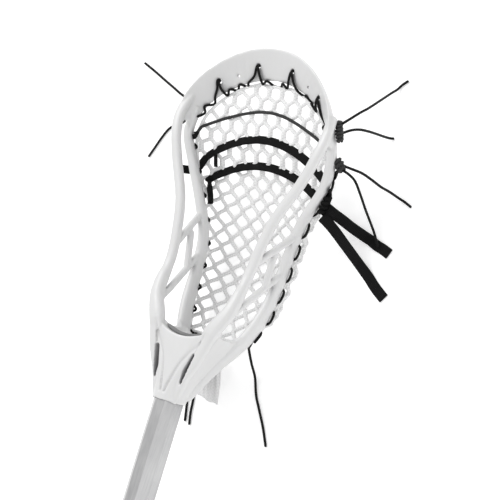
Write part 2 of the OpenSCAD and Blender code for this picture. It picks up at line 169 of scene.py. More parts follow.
class Build:
    """Collects rings and faces, with a UV of turns round and millimetres along, into one mesh."""

    def __init__(self):
        self.verts, self.faces, self.uvs = [], [], []

    def loft(self, rings, alongs):
        n = len(rings[0])
        base = len(self.verts)
        for ring in rings:
            self.verts.extend(ring)
        for i in range(len(rings) - 1):
            for k in range(n):
                j = (k + 1) % n
                low, high = base + i * n, base + (i + 1) * n
                self.faces.append((low + k, low + j, high + j, high + k))
                u0, u1 = k / n, (k + 1) / n
                v0, v1 = alongs[i], alongs[i + 1]
                self.uvs.append(((u0, v0), (u1, v0), (u1, v1), (u0, v1)))
        self.faces.append(tuple(base + k for k in reversed(range(n))))
        self.uvs.append(tuple((k / n, alongs[0]) for k in reversed(range(n))))
        top = base + (len(rings) - 1) * n
        self.faces.append(tuple(top + k for k in range(n)))
        self.uvs.append(tuple((k / n, alongs[-1]) for k in range(n)))

    def tube(self, points, radius, sides=8, tip=True):
        """A round strand; radius is one value or one for each point, in metres."""
        points = [Vector(p) for p in points]
        radii = radius if isinstance(radius, list) else [radius] * len(points)
        tangents = [tangent_at(points, i) for i in range(len(points))]
        side = tangents[0].orthogonal().normalized()
        rings, alongs, run = [], [], 0.0
        if tip:
            first = points[0] - tangents[0] * radii[0] * TIP_REACH
            last = points[-1] + tangents[-1] * radii[-1] * TIP_REACH
            points = [first] + points + [last]
            tangents = [tangents[0]] + tangents + [tangents[-1]]
            radii = [radii[0] * TIP_RADIUS] + radii + [radii[-1] * TIP_RADIUS]
        for i, p in enumerate(points):
            if i:
                run += (p - points[i - 1]).length
            side = (side - tangents[i] * side.dot(tangents[i])).normalized()
            other = tangents[i].cross(side)
            rings.append([p + (side * math.cos(a) + other * math.sin(a)) * radii[i]
                          for a in (2 * math.pi * k / sides for k in range(sides))])
            alongs.append(run / MM)
        self.loft(rings, alongs)

    def band(self, points, acrosses, width, thick):
        """A flat lace; acrosses says which way its width lies at each point."""
        points = [Vector(p) for p in points]
        rings, alongs, run = [], [], 0.0
        for i, p in enumerate(points):
            if i:
                run += (p - points[i - 1]).length
            tangent = tangent_at(points, i)
            across = acrosses[i] - tangent * acrosses[i].dot(tangent)
            across.normalize()
            over = across.cross(tangent)
            ring = []
            for k in range(BAND_SIDES):
                a = 2 * math.pi * k / BAND_SIDES
                ring.append(p + across * (width / 2 * rounded(math.cos(a), 0.55))
                            + over * (thick / 2 * rounded(math.sin(a), 0.6)))
            rings.append(ring)
            alongs.append(run / MM)
        self.loft(rings, alongs)

    def done(self, name, material):
        return piece(name, self.verts, self.faces, self.uvs, material)


# ---- Materials ----

def new_material(name):
    material = bpy.data.materials.new(name)
    material.use_nodes = True
    nodes = material.node_tree.nodes
    nodes.clear()
    output = nodes.new("ShaderNodeOutputMaterial")
    shader = nodes.new("ShaderNodeBsdfPrincipled")
    material.node_tree.links.new(shader.outputs[0], output.inputs[0])
    return material, shader


def add(material, kind, inputs=(), **values):
    node = material.node_tree.nodes.new(kind)
    for key, value in values.items():
        setattr(node, key, value)
    for key, value in dict(inputs).items():
        if hasattr(value, "is_output"):
            material.node_tree.links.new(value, node.inputs[key])
        else:
            node.inputs[key].default_value = value
    return node


def plug(material, socket, node, key):
    material.node_tree.links.new(socket, node.inputs[key])


def math_node(material, operation, a, b=0.0):
    return add(material, "ShaderNodeMath", {0: a, 1: b}, operation=operation).outputs[0]


def ramp(material, factor, stops):
    node = add(material, "ShaderNodeValToRGB", {0: factor})
    elements = node.color_ramp.elements
    while len(elements) < len(stops):
        elements.new(0.5)
    for element, (position, colour) in zip(elements, stops):
        element.position = position
        element.color = (*colour, 1)
    return node.outputs[0]


def grey(value, tint=(1, 1, 1)):
    return tuple(value * t for t in tint)


def bump(material, height, strength, distance, normal=None):
    inputs = {"Strength": strength, "Distance": distance, "Height": height}
    if normal is not None:
        inputs["Normal"] = normal
    return add(material, "ShaderNodeBump", inputs).outputs[0]


def noise_of(material, vector, scale, detail=3.0, roughness=0.5):
    return add(material, "ShaderNodeTexNoise", {"Vector": vector, "Scale": scale, "Detail": detail,
                                                "Roughness": roughness}).outputs[0]


def scaled(material, value, factor, offset):
    return math_node(material, "ADD", math_node(material, "MULTIPLY", value, factor), offset)


def blend(material, first, share, second, other_share):
    """The sum of two values, each times its share."""
    return math_node(material, "ADD", math_node(material, "MULTIPLY", first, share),
                     math_node(material, "MULTIPLY", second, other_share))


def wave(material, turns):
    return math_node(material, "SINE", math_node(material, "MULTIPLY", turns, 2 * math.pi))


# Sockets of a colour mix node: its two colours and its result
MIX_A = 6
MIX_B = 7
MIX_RESULT = 2


def paint_shade_in_hollows(material, colour, near, stops, tint):
    """Painted shade: the colour, multiplied by a tint where something lies nearer than a distance
    in metres.
    """
    hollow = add(material, "ShaderNodeAmbientOcclusion", {"Distance": near}, samples=8)
    mix = add(material, "ShaderNodeMix", {0: ramp(material, hollow.outputs["AO"], stops)},
              data_type="RGBA", blend_type="MULTIPLY")
    plug(material, colour, mix, MIX_A)
    mix.inputs[MIX_B].default_value = (*tint, 1)
    return mix.outputs[MIX_RESULT]


def cord_material(name, dark, light, roughness, plies, pitch, depth, gloss=0.2):
    """Braided cord: strands cross each other round the cord, plies round and pitch mm along."""
    material, shader = new_material(name)
    coordinates = add(material, "ShaderNodeTexCoord")
    split = add(material, "ShaderNodeSeparateXYZ", {0: coordinates.outputs["UV"]})
    u, v = split.outputs[0], split.outputs[1]
    turns = math_node(material, "MULTIPLY", u, plies)
    steps = math_node(material, "DIVIDE", v, pitch)
    one = wave(material, math_node(material, "ADD", turns, steps))
    two = wave(material, math_node(material, "SUBTRACT", turns, steps))
    weave = scaled(material, math_node(material, "MAXIMUM", one, two), 0.5, 0.5)
    fuzz = noise_of(material, coordinates.outputs["Object"], 2600, 2.0)
    broad = noise_of(material, coordinates.outputs["Object"], 60, 3.0)
    tone = blend(material, weave, 0.65, broad, 0.45)
    plug(material, ramp(material, tone, [(0.1, dark), (0.95, light)]), shader, "Base Color")
    plug(material, scaled(material, fuzz, 0.15, roughness - 0.07), shader, "Roughness")
    first = bump(material, weave, 0.9, depth)
    plug(material, bump(material, fuzz, 0.25, 0.00008, first), shader, "Normal")
    shader.inputs["Specular IOR Level"].default_value = gloss
    return material


def lace_material(name, dark, light, roughness):
    """Woven flat lace: a chevron weave on both faces."""
    material, shader = new_material(name)
    coordinates = add(material, "ShaderNodeTexCoord")
    split = add(material, "ShaderNodeSeparateXYZ", {0: coordinates.outputs["UV"]})
    u, v = split.outputs[0], split.outputs[1]
    fold = math_node(material, "PINGPONG", math_node(material, "MULTIPLY", u, 8.0), 1.0)
    rows = math_node(material, "ADD", math_node(material, "DIVIDE", v, 1.5), fold)
    weave = scaled(material, wave(material, rows), 0.5, 0.5)
    fuzz = noise_of(material, coordinates.outputs["Object"], 2200, 2.0)
    broad = noise_of(material, coordinates.outputs["Object"], 90, 3.0)
    tone = blend(material, weave, 0.6, broad, 0.5)
    plug(material, ramp(material, tone, [(0.1, dark), (0.95, light)]), shader, "Base Color")
    shader.inputs["Roughness"].default_value = roughness
    first = bump(material, weave, 0.9, 0.00035)
    plug(material, bump(material, fuzz, 0.35, 0.0001, first), shader, "Normal")
    shader.inputs["Specular IOR Level"].default_value = 0.12
    return material


def nylon_material():
    """Injection-moulded nylon: satin, slightly wavy, lighter on its rubbed ridges, with painted
    shade darker where the surface curves in and in its corners.
    """
    material, shader = new_material("head_nylon")
    place = add(material, "ShaderNodeTexCoord").outputs["Object"]
    broad = noise_of(material, place, 18, 4.0)
    specks = noise_of(material, place, 700, 3.0)
    grain = noise_of(material, place, 2400, 2.0)
    geometry = add(material, "ShaderNodeNewGeometry")
    # Lighter on the rubbed ridges, and painted shade darker where the surface curves in
    edges = ramp(material, geometry.outputs["Pointiness"], [(0.44, grey(0.0)), (0.56, grey(1.0))])
    tone = blend(material, broad, 0.45, edges, 0.5)
    colour = ramp(material, tone,
                  [(0.1, grey(0.54, (1, 1, 0.99))), (0.42, grey(0.66)), (0.8, grey(0.73))])
    # Painted shade: darker in the corners and creases, where other surfaces lie within 9 mm
    hollow_shade_colour = paint_shade_in_hollows(material, colour, 0.009, [(0.3, grey(0.9)), (0.85, grey(0.0))],
                         (0.36, 0.36, 0.37))
    plug(material, hollow_shade_colour, shader, "Base Color")
    plug(material, scaled(material, specks, 0.16, 0.3), shader, "Roughness")
    first = bump(material, broad, 0.12, 0.002)
    plug(material, bump(material, grain, 0.12, 0.00012, first), shader, "Normal")
    shader.inputs["Subsurface Weight"].default_value = 0.12
    shader.inputs["Subsurface Radius"].default_value = (0.003, 0.003, 0.0025)
    shader.inputs["Coat Weight"].default_value = 0.08
    shader.inputs["Coat Roughness"].default_value = 0.25
    return material


def alloy_material():
    """Anodised alloy tube: fine drawing lines along it and faint handling marks, with painted shade
    on the sides that face the floor.
    """
    material, shader = new_material("alloy")
    place = add(material, "ShaderNodeTexCoord").outputs["Object"]
    stretch = add(material, "ShaderNodeMapping", {0: place, "Scale": (900, 6, 900)})
    lines = noise_of(material, stretch.outputs[0], 1.0, 4.0, 0.6)
    marks = noise_of(material, place, 35, 4.0)
    tone = blend(material, lines, 0.6, marks, 0.4)
    colour = ramp(material, tone, [(0.3, grey(0.42, (1, 1, 1.02))), (0.7, grey(0.56))])
    # Painted shade: darker on the sides that the floor lies near, within 8 cm
    shaded = paint_shade_in_hollows(material, colour, 0.08, [(0.5, grey(1.0)), (0.85, grey(0.0))],
                          (0.6, 0.6, 0.61))
    plug(material, shaded, shader, "Base Color")
    shader.inputs["Metallic"].default_value = 1.0
    plug(material, scaled(material, lines, 0.22, 0.26), shader, "Roughness")
    plug(material, bump(material, lines, 0.12, 0.0001), shader, "Normal")
    return material


def rubber_material(name, low, high, roughness, scale, depth):
    material, shader = new_material(name)
    place = add(material, "ShaderNodeTexCoord").outputs["Object"]
    cells = add(material, "ShaderNodeTexVoronoi", {"Vector": place, "Scale": scale}).outputs[0]
    broad = noise_of(material, place, 45, 4.0)
    colour = ramp(material, broad, [(0.3, grey(low)), (0.75, grey(high))])
    plug(material, colour, shader, "Base Color")
    plug(material, scaled(material, broad, 0.2, roughness - 0.1), shader, "Roughness")
    plug(material, bump(material, cells, 0.5, depth), shader, "Normal")
    return material


def steel_material():
    material, shader = new_material("screw_steel")
    marks = noise_of(material, add(material, "ShaderNodeTexCoord").outputs["Object"], 900, 4.0)
    colour = ramp(material, marks, [(0.3, grey(0.36)), (0.7, grey(0.58))])
    plug(material, colour, shader, "Base Color")
    shader.inputs["Metallic"].default_value = 1.0
    plug(material, scaled(material, marks, 0.25, 0.22), shader, "Roughness")
    plug(material, bump(material, marks, 0.2, 0.0001), shader, "Normal")
    return material


NYLON = nylon_material()
NET = cord_material("net_cord", grey(0.7), grey(0.9), 0.75, 3, 2.6, 0.0003)
NET_CLOTH = cord_material("net_cloth", grey(0.68), grey(0.8), 0.8, 3, 2.6, 0.00006)
BLACK = cord_material("black_string", grey(0.003), grey(0.012), 0.6, 4, 2.0, 0.0002, 0.12)
GREY = cord_material("grey_cord", grey(0.012), grey(0.05), 0.6, 4, 2.2, 0.00025)
LACE = lace_material("black_lace", grey(0.002), grey(0.01), 0.7)
ALLOY = alloy_material()
RUBBER = rubber_material("cap_rubber", 0.012, 0.03, 0.65, 900, 0.00008)
# A foam pad whose dark grey also paints the shade in the gap under the ball stop's lip
FOAM_AND_SHADE = rubber_material("stop_foam_and_shade", 0.2, 0.27, 0.95, 1500, 0.0003)
STEEL = steel_material()


def finish_piece(obj, slot, *nodes):
    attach(obj, "stick")
    if nodes:
        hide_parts(*nodes)
    return obj


# ---- Free ends of the strings: the routes of the CAD model ----

STRING_D = 2.4
LACE_W = 10
TIGHT_LACE_W = 8
LACE_T = 1.8
CORD_D = 3
# How high the middle of a string and of a lace is when it lies on the floor
TAIL = STRING_D / 2
FLAT = LACE_T / 2

TAILS = {
    "top_tail_left": [(-82, 280, 73), (-88, 281, 68), (-95, 282, 60), (-103, 283, 49),
                      (-112, 285, 36), (-122, 287, 22), (-133, 289, 10), (-145, 291, 3),
                      (-157, 294, TAIL), (-171, 300, TAIL), (-185, 306, TAIL), (-201, 313, TAIL),
                      (-218, 320, TAIL)],
    "side_tail_left": [(-87, 259, 69), (-93, 260, 64), (-100, 261, 55), (-109, 262, 43),
                       (-119, 263, 30), (-130, 264, 16), (-141, 264, 6), (-151, 262, TAIL),
                       (-158, 257, TAIL), (-163, 247, TAIL), (-167, 236, TAIL), (-171, 225, TAIL)],
    "top_tail_right": [(86, 276, 70), (91, 283, 67), (94, 291, 61), (95, 299, 52), (93, 308, 40),
                       (90, 318, 26), (87, 328, 12), (86, 335, 3), (88, 340, TAIL),
                       (93, 345, TAIL)],
    "cord_tail_right": [(89, 268, 69), (94, 273, 65), (97, 277, 57), (98, 280, 45), (97, 283, 30),
                        (95, 286, 14), (95, 288, 4), (98, 289, TAIL)],
    "upper_tail_front": [(92, 242, 57), (101, 241, 55), (110, 240, 51), (116, 238, 43),
                         (120, 236, 31), (122, 236, 17), (125, 235, 5), (131, 233, TAIL),
                         (138, 230, TAIL)],
    "upper_tail_back": [(93, 238, 56), (99, 236, 54), (105, 232, 50), (110, 223, 43),
                        (113, 213, 32), (114, 205, 19), (115, 199, 10), (117, 193, 5),
                        (120, 188, 3.4)],
    "sidewall_tail_right": [(36, 69, 25), (37, 63, 21), (38, 54, 13), (40, 44, 4), (45, 30, TAIL),
                            (54, 17, TAIL), (64, 3, TAIL), (73, -12, TAIL)],
    "bottom_tail_outer": [(-37, 67, 23), (-37, 58, 16), (-35, 49, 9), (-33, 39, 3), (-31, 29, TAIL),
                          (-29, 17, TAIL), (-26, 5, TAIL), (-23.5, -4, TAIL), (-21, -13, TAIL)],
    "bottom_tail_inner": [(-25, 61, 21), (-25, 52, 14), (-24, 43, 8), (-24, 33, 3), (-24, 26, TAIL),
                          (-23, 19, TAIL), (-20, 8, TAIL), (-18, -4, TAIL), (-15, -15, TAIL)],
}
FLAT_TAILS = {
    "lace_tail_front": [(77, 206, 42), (86, 202, 39), (93, 199, 30), (99, 196, 19), (104, 194, 8),
                        (110, 192, 1.5), (117, 189, FLAT), (124, 187, FLAT), (132, 184, FLAT)],
    "lace_tail_back": [(78, 196, 41), (87, 191, 39), (95, 185, 35), (101, 179, 28), (107, 172, 17),
                       (113, 165, 6), (121, 158, FLAT), (130, 151, FLAT), (141, 144, FLAT)],
}


TAIL_STEPS = 6


def floor_path(route, lowest):
    return [ground((p[0], p[1], max(p[2], lowest))) for p in smooth(route, TAIL_STEPS)]


for name, route in TAILS.items():
    path = floor_path(route, TAIL)
    build = Build()
    build.tube(path, STRING_D / 2 * MM, 12)
    tail = build.done(name + "_string", BLACK)
    finish_piece(tail, "string", name)

for name, route in FLAT_TAILS.items():
    path = floor_path(route, FLAT)
    build = Build()
    acrosses = [tangent_at(path, i).cross(Vector((0, 0, 1))) for i in range(len(path))]
    build.band(path, acrosses, LACE_W * MM, LACE_T * MM)
    tail = build.done(name + "_lace", LACE)
    finish_piece(tail, "lace", name)


# ---- Moulded head: the CAD solid with its facets melted into one smooth skin ----

SPLIT_Y = 247
VOXEL = 0.0009
RELAX_ROUNDS = 4


def on_split(point):
    """Whether a point lies on the plane that divides the head's two CAD solids."""
    y = (point.y / MM - MOUTH) * math.cos(TILT) + (point.z / MM - REST) * math.sin(TILT)
    return abs(y - SPLIT_Y) < 0.01


def smooth_copy(nodes, name):
    both = bmesh.new()
    for node in nodes:
        both.from_mesh(NODES[node].data)
    inner = [face for face in both.faces if all(on_split(v.co) for v in face.verts)]
    bmesh.ops.delete(both, geom=inner, context="FACES_ONLY")
    whole = bpy.data.meshes.new(name)
    both.to_mesh(whole)
    both.free()
    obj = bpy.data.objects.new(name, whole)
    bpy.context.scene.collection.objects.link(obj)
    remesh = obj.modifiers.new("skin", "REMESH")
    remesh.mode = "VOXEL"
    remesh.voxel_size = VOXEL
    relax = obj.modifiers.new("relax", "SMOOTH")
    relax.factor = 0.5
    relax.iterations = RELAX_ROUNDS
    graph = bpy.context.evaluated_depsgraph_get()
    mesh = bpy.data.meshes.new_from_object(obj.evaluated_get(graph))
    obj.modifiers.clear()
    old = obj.data
    obj.data = mesh
    bpy.data.meshes.remove(old)
    mesh.name = name
    mesh.polygons.foreach_set("use_smooth", [True] * len(mesh.polygons))
    return obj


# The creases on the throat's face: the right-hand lines, and how deep and how broad they are (mm)
CREASES = [[(2.4, 6, 15.6), (4, 14, 15.6), (9.6, 32, 15.4), (16, 43, 15), (24, 54, 14.8),
            (30, 68, 15.5)],
           [(21.5, 46, 14.8), (24.5, 57, 15)]]
CREASE_DEPTH = 1.9
CREASE_SPREAD = 1.4
CREASE_STEPS = 12
FACE_UP = 0.3  # only faces that look up at least this much are pressed in


def press_creases(obj):
    """Pushes the skin in along the crease lines and their mirror images."""
    lines = []
    for line in CREASES:
        for sign in (-1, 1):
            lines += [lay(p) for p in smooth([(x * sign, y, z) for x, y, z in line], CREASE_STEPS)]
    tree = KDTree(len(lines))
    for index, point in enumerate(lines):
        tree.insert(point, index)
    tree.balance()
    moves = []
    for vertex in obj.data.vertices:
        near = tree.find(vertex.co)[2] / MM
        if near < 3 * CREASE_SPREAD and vertex.normal.z > FACE_UP:
            depth = CREASE_DEPTH * math.exp(-(near / CREASE_SPREAD) ** 2)
            moves.append((vertex, vertex.normal * depth * MM))
    for vertex, move in moves:
        vertex.co -= move


head = smooth_copy(("head_frame", "head_scoop"), "moulded_head")
press_creases(head)
head.data.materials.append(NYLON)
finish_piece(head, "head_nylon", "head_frame", "head_scoop")


# ---- Foam pad on the ball stop, whose dark grey also paints the shade in the gap under the stop's lip ----

PAD_HALF = 20.6
PAD_Z = 6
PAD_HALF_TALL = 2.9
PAD_HALF_THICK = 1.6
PAD_R = 48.4  # the radius of its curve, round the y below
PAD_CENTRE_Y = 107
PAD_STEPS = 40
PAD_SIDES = 20


def ball_stop():
    build = Build()
    rings, alongs = [], []
    for i in range(PAD_STEPS + 1):
        x = -PAD_HALF + 2 * PAD_HALF * i / PAD_STEPS
        end = abs(x / PAD_HALF) ** 6
        ring = []
        for k in range(PAD_SIDES):
            a = 2 * math.pi * k / PAD_SIDES
            r = PAD_R + PAD_HALF_THICK * rounded(math.cos(a), 0.6) * (1 - 0.5 * end)
            z = PAD_Z + PAD_HALF_TALL * rounded(math.sin(a), 0.5) * (1 - 0.12 * end)
            ring.append(lay((x, PAD_CENTRE_Y - math.sqrt(r * r - x * x), z)))
        rings.append(ring)
        alongs.append(x)
    build.loft(rings, alongs)
    return build.done("stop_pad", FOAM_AND_SHADE)


pad = ball_stop()
finish_piece(pad, "foam", "ball_stop_pad")

# ---- The pocket's net ----

# The pocket's stations: half its width, y and the height of its edge, then how deep it sags below
# the edge and how far its sides bulge out
POCKET_EDGE = [(35, 64, -42.6), (45, 92, -47.8), (49, 125, -50.4), (52, 155, -48.2),
               (61.5, 184, -39.2), (75, 215, -32.6), (78, 240, -22), (73.5, 258, -18),
               (66, 270, -17), (55.5, 282, -17.5), (38, 293.5, -18), (18, 300.5, -18)]
POCKET_SAG = [5, 16, 21.4, 23.4, 23.4, 20.6, 17, 13, 10, 7, 4, 2]
POCKET_BULGE = [4, 13, 15, 15, 12, 6, 1, 0, 0, 0, 0, 0]
EDGE = [(*edge, sag, bulge) for edge, sag, bulge in
        zip(smooth(POCKET_EDGE, 6), smooth(POCKET_SAG, 6), smooth(POCKET_BULGE, 6))]
MESH_T = 3
NET_D = 3.9
FULLNESS = 0.7  # below 1, the pocket's section is fuller than an ellipse


def outline(row, angle):
    """A point of the pocket's outer face; the angle goes from -90 at its left edge to 90."""
    half, y, z, sag, bulge = row
    u, depth = math.sin(math.radians(angle)), max(0, math.cos(math.radians(angle))) ** FULLNESS
    return Vector((u * (half + bulge * u * u * depth), y, z - sag * depth))


def pocket(angle, y, lift):
    """A point so many mm inside the outer face, which lies flat where it meets the floor."""
    row = table(EDGE, y)
    row[1] = y
    p = outline(row, angle)
    across = (outline(row, min(90, angle + 4)) - outline(row, max(-90, angle - 4))).normalized()
    q = lay(p)
    m = lay(p + lift * Vector((-across.z, 0, across.x))) - q
    return Vector((q.x + m.x, q.y + m.y, max(q.z, 0) + m.z))


# The net is laid out on cross sections of the pocket
SECTION_FROM = 64
SECTION_STEP = 2
SECTION_COUNT = 119
SECTION_HALF = 24
SECTION_YS = [SECTION_FROM + SECTION_STEP * k for k in range(SECTION_COUNT)]
SECTION_ANGLES = [90 * (k / SECTION_HALF - 1) for k in range(2 * SECTION_HALF + 1)]
EDGE_MARGIN = 0.8


def across_table(y):
    """Points along the net's thickness middle at y, and how far round they are, in mm."""
    points = [pocket(angle, y, NET_D / 2) for angle in SECTION_ANGLES]
    lengths = [0]
    for a, b in zip(points, points[1:]):
        lengths.append(lengths[-1] + (b - a).length / MM)
    middle = lengths[SECTION_HALF]
    return [length - middle for length in lengths], points


SECTIONS = [across_table(y) for y in SECTION_YS]


def section_at(y):
    """The section below y, the one above, and how far y is between them."""
    f = max(0, min(SECTION_COUNT - 1.001, (y - SECTION_FROM) / SECTION_STEP))
    return SECTIONS[int(f)], SECTIONS[int(f) + 1], f - int(f)


def net_point(s, y):
    """The point s mm round the pocket from its middle line, at y."""
    def on(section):
        lengths, points = section
        s2 = max(lengths[0], min(lengths[-1], s))
        for i in range(2 * SECTION_HALF):
            if s2 <= lengths[i + 1]:
                t = (s2 - lengths[i]) / max(1e-9, lengths[i + 1] - lengths[i])
                return points[i].lerp(points[i + 1], t)
        return points[-1]
    low, high, t = section_at(y)
    return on(low).lerp(on(high), t)


def reach(y):
    """How far the net goes round the pocket from its middle line, at y."""
    low, high, t = section_at(y)
    return (low[0][-1] * (1 - t) + high[0][-1] * t) - EDGE_MARGIN


# The net's rows: where they start and end, and how far apart they are, with the gain near the scoop
ROWS_FROM = 66.0
ROWS_TOP = 300.0
ROW_PITCH = 9.2
ROW_GAIN = 2.6
COLUMNS = 14  # half cells to each side of the middle line
JITTER = 0.7  # how far a crossing may be off its place
EDGE_CORD_R = 1.5
THROAT_CORD_R = 1.6


def half_cell(y):
    """Half the width of a cell, which narrows towards the scoop."""
    return 8.7 - 1.3 * share(y, 185, 55)


def doubled(y):
    """Half the length over which two strands run side by side at a crossing."""
    return 0.5 + 2.4 * share(y, 190, 40)


def inside(s, y):
    return y <= ROWS_TOP and abs(s) <= reach(y)


def between(a, b, t, t2):
    """From a to b, so much of the way round the pocket and so much along it."""
    return a[0] + (b[0] - a[0]) * t, a[1] + (b[1] - a[1]) * t2


def clipped(good, bad):
    """The last point inside the net on the way from a good one to a bad one."""
    low, high = 0.0, 1.0
    for _ in range(20):
        t = (low + high) / 2
        if inside(*between(good, bad, t, t)):
            low = t
        else:
            high = t
    return between(good, bad, low, low)


# Along a crossing: the place, in half lengths from its middle, and the radius, in strand diameters
CROSSING = ((-1.5, 0.5), (-0.6, 0.66), (0.6, 0.66), (1.5, 0.5))
STRAND_STEPS = 6
STRAND_EASE = 0.045  # how much a strand between two crossings bends into an S


def crossing(build, s, y):
    points = [net_point(s, min(ROWS_TOP, y + doubled(y) * place)) for place, _ in CROSSING]
    build.tube(points, [radius * NET_D * MM for _, radius in CROSSING])


def strand(build, start, stop):
    points = []
    for k in range(STRAND_STEPS + 1):
        t = k / STRAND_STEPS
        ease = t + STRAND_EASE * math.sin(2 * math.pi * t)
        points.append(net_point(*between(start, stop, t, ease)))
    build.tube(points, NET_D / 2 * MM, tip=False)


def net():
    build = Build()
    rows = [ROWS_FROM]
    while rows[-1] < ROWS_TOP - 1:
        rows.append(rows[-1] + (ROW_PITCH + ROW_GAIN * share(rows[-1], 195, 40)))
    jitter = {}

    def place(i, j):
        if (i, j) not in jitter:
            jitter[(i, j)] = (random.uniform(-JITTER, JITTER), random.uniform(-JITTER, JITTER))
        y = rows[j] + jitter[(i, j)][1]
        return i * half_cell(y) + jitter[(i, j)][0], y

    for j in range(len(rows)):
        for i in range(-COLUMNS, COLUMNS + 1):
            if (i + j) % 2:
                continue
            a = place(i, j)
            if inside(*a):
                crossing(build, *a)
            if j == len(rows) - 1:
                continue
            for step in (-1, 1):
                b = place(i + step, j + 1)
                start, stop = (a[0], a[1] + doubled(a[1])), (b[0], b[1] - doubled(b[1]))
                if not inside(*start) and not inside(*stop):
                    continue
                if not inside(*stop):
                    stop = clipped(start, stop)
                elif not inside(*start):
                    start = clipped(stop, start)
                strand(build, start, stop)
    for side in (-1, 1):
        build.tube([net_point(side * reach(y), y) for y in SECTION_YS], EDGE_CORD_R * MM)
    for y, radius in ((300, EDGE_CORD_R), (65, THROAT_CORD_R)):
        build.tube([net_point(reach(y) * (k / 12 - 1), y) for k in range(25)], radius * MM)
    return build.done("pocket_net", NET)


pocket_net = net()
finish_piece(pocket_net, "mesh_cord", "mesh_pocket", "mesh_ramp")


# ---- The net's spare end: a pleated flap below the throat ----

# Along the flap: y, height above the floor, left and right edge, and how high the pleats stand
FLAP_ROWS = [(59, 21.4, -17, 1, 2.4), (52, 17, -19.5, 2.6, 2.6), (44, 11.5, -20, 3.6, 2.6),
             (36, 7, -19.6, 4.4, 2.4), (28, 4.3, -19, 5.4, 2.0), (20, 2.8, -17.8, 6.8, 1.4),
             (13, 2.0, -15.5, 8.4, 0.9)]
FLAP_STEPS = 60
FLAP_END = FLAP_ROWS[-1][0]
FLAP_LENGTH = FLAP_ROWS[0][0] - FLAP_END
FLAP_SLANT = 3.5  # how much further its free end goes on the right
FLAP_WAVE = 0.8
PLEATS = 4.5
PLEAT_SHARE = 0.62
FLAP_LOWEST = 1.2
FLAP_HALF_T = 0.55
FLAP_U = 20  # steps across for one turn of the weave
FLAP_V = 1.3  # millimetres along for one step


def flap():
    grid = []
    lefts = smooth([Vector(row[:3]) for row in FLAP_ROWS], 6)
    rights = smooth([Vector((row[3], row[4], 0)) for row in FLAP_ROWS], 6)
    for (y_row, height, left), (right, pleat, _) in zip(lefts, rights):
        row = []
        for k in range(FLAP_STEPS + 1):
            u = k / FLAP_STEPS
            fold = math.sin(u * 2 * math.pi * PLEATS + y_row * 0.04)
            x = left + (right - left) * u
            slant = FLAP_SLANT * u * (1 - (y_row - FLAP_END) / FLAP_LENGTH)
            y = y_row - slant + FLAP_WAVE * math.sin(u * 9)
            row.append((x, y, max(FLAP_LOWEST, height + pleat * PLEAT_SHARE * fold)))
        grid.append(row)
    verts, faces, uvs = [], [], []
    n = FLAP_STEPS + 1
    for side in (FLAP_HALF_T, -FLAP_HALF_T):
        for row in grid:
            verts.extend(ground((x, y, max(FLAP_HALF_T, z) + side)) for x, y, z in row)
    m = len(grid)
    for layer in (0, 1):
        for i in range(m - 1):
            low, high = layer * m * n + i * n, layer * m * n + (i + 1) * n
            for k in range(n - 1):
                u0, u1 = k / FLAP_U, k / FLAP_U + 1 / FLAP_U
                v0, v1 = i * FLAP_V, i * FLAP_V + FLAP_V
                quad = (low + k, high + k, high + k + 1, low + k + 1)
                corners = ((u0, v0), (u0, v1), (u1, v1), (u1, v0))
                faces.append(quad if layer == 0 else tuple(reversed(quad)))
                uvs.append(corners if layer == 0 else tuple(reversed(corners)))
    border = [(0, k) for k in range(n)] + [(i, n - 1) for i in range(1, m)] \
        + [(m - 1, k) for k in range(n - 2, -1, -1)] + [(i, 0) for i in range(m - 2, 0, -1)]
    for a, b in zip(border, border[1:] + border[:1]):
        ia, ib = a[0] * n + a[1], b[0] * n + b[1]
        faces.append((ia, ib, ib + m * n, ia + m * n))
        uvs.append(((0, 0), (0, 1), (0.05, 1), (0.05, 0)))
    return piece("net_flap", verts, faces, uvs, NET_CLOTH)


net_flap = flap()
finish_piece(net_flap, "mesh_cord", "mesh_tail")

# ---- Strings through the head ----

# The right low rail's middle line, and its height
LOW_RAIL = [(10, 4, -10), (18, 34, -23), (34.5, 66, -34), (43, 92, -39.5), (47, 125, -43.5),
            (50, 155, -42), (59.5, 184, -33.5), (76, 218, -26.5), (82.2, 240, -16.5),
            (80.5, 254, -13), (77, 268, -9)]
LOW_RAIL_H = [8, 13, 17, 16, 13, 11.5, 10, 9.2, 9, 8.6, 8]
LOW = [(*p, h) for p, h in zip(LOW_RAIL, LOW_RAIL_H)]
# The right half of the string along the scoop, which peaks at the scoop's holes
TOP_LEGS = [(74, 258, -13), (71, 264, -18), (68, 269, -11), (64, 274, -19), (61, 280, -13),
            (58.4, 287, -9), (57.4, 293.5, -4.6), (57, 295, -8.5), (56, 292.5, -6), (54, 287, -10),
            (51, 284, -18), (47, 289, -13), (43, 291, -20), (38, 295.5, -14), (33, 296, -20),
            (28, 298.5, -13), (22.5, 305, -11), (19.9, 313.5, -7), (19.5, 315.5, -11),
            (18.8, 313, -7.6), (16.5, 306, -11), (14, 300, -16), (9, 303, -14), (4, 301, -20)]
TOP_LIFT = 1.6
BOTTOM_STRING = [(33, 66, -38), (24, 61.5, -43), (14, 58, -39.5), (5, 56, -44), (-5, 56, -39.5),
                 (-14, 58, -44), (-24, 61.5, -39.5), (-33, 66, -41)]


def mirrored(p):
    return (-p[0], p[1], p[2])


def string(name, points, node, steps=6):
    build = Build()
    build.tube([lay(p) for p in smooth(points, steps)], STRING_D / 2 * MM, 10)
    finish_piece(build.done(name, BLACK), "string", node)


TOP_LINE = [(x, y, z + TOP_LIFT) for x, y, z in TOP_LEGS]
string("top_string_run", TOP_LINE + [mirrored(p) for p in reversed(TOP_LINE)], "top_string")
string("bottom_string_run", BOTTOM_STRING, "bottom_string")


